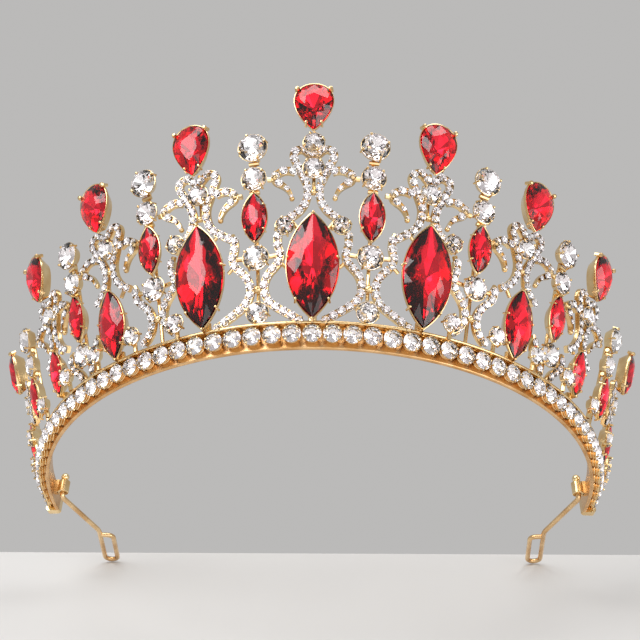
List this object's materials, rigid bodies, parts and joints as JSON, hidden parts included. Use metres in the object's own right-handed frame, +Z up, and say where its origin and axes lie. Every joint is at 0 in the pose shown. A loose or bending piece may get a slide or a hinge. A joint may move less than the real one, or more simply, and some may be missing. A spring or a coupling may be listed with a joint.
{
  "type": "crown",
  "caption": "Arched gold tiara with a crystal-set band, open scroll crest of ruby pears and marquises, and swivelling wire hair-loop arms.",
  "frame": {"origin": "centre of the head circle, on the plane of the band's bottom edge", "axes": "+Z up along the crown's axis, -Y towards the front crest, X across the head, mirror symmetric about X = 0"},
  "size_m": [0.1674, 0.1267, 0.0569],
  "materials": {
    "gold_strip": "polished warm gold plating",
    "gold_casting": "polished light gold plating",
    "gold_wire": "bright drawn wire, light gold plating",
    "clear_crystal": "faceted, foil backed",
    "ruby_glass": "faceted red, foil backed"
  },
  "bodies": {
    "crown": {"inner_band": "gold_strip", "band_foot_rail": "gold_casting", "band_cups": "gold_casting", "band_crystals": "clear_crystal", "left_end_cap": "gold_strip", "right_end_cap": "gold_strip", "center_crest": "gold_casting", "left_crest_2": "gold_casting", "left_crest_4": "gold_casting", "left_crest_6": "gold_casting", "left_crest_8": "gold_casting", "right_crest_2": "gold_casting", "right_crest_4": "gold_casting", "right_crest_6": "gold_casting", "right_crest_8": "gold_casting", "left_spire_1": "gold_casting", "left_spire_3": "gold_casting", "left_spire_5": "gold_casting", "left_spire_7": "gold_casting", "right_spire_1": "gold_casting", "right_spire_3": "gold_casting", "right_spire_5": "gold_casting", "right_spire_7": "gold_casting", "base_accent_cups": "gold_casting", "ruby_pears": "ruby_glass", "large_marquises": "ruby_glass", "medium_marquises": "ruby_glass", "small_marquises": "ruby_glass", "spire_top_crystals": "clear_crystal", "spire_second_crystals": "clear_crystal", "spire_large_crystals": "clear_crystal", "crest_mid_crystals": "clear_crystal", "accent_crystals": "clear_crystal", "left_lug": "gold_strip", "right_lug": "gold_strip"},
    "left_arm": {"left_wire_arm": "gold_wire", "left_pivot_knob": "gold_wire"},
    "right_arm": {"right_wire_arm": "gold_wire", "right_pivot_knob": "gold_wire"}
  },
  "joints": [
    {"name": "left_arm_swivel", "type": "hinge", "parent": "crown", "child": "left_arm", "pos_m": [-0.0659, -0.003, 0.0035], "axis": [0, 0, -1], "range_deg": [-20, 110]},
    {"name": "right_arm_swivel", "type": "hinge", "parent": "crown", "child": "right_arm", "pos_m": [0.0659, -0.003, 0.0035], "axis": [0, 0, 1], "range_deg": [-20, 110]}
  ]
}
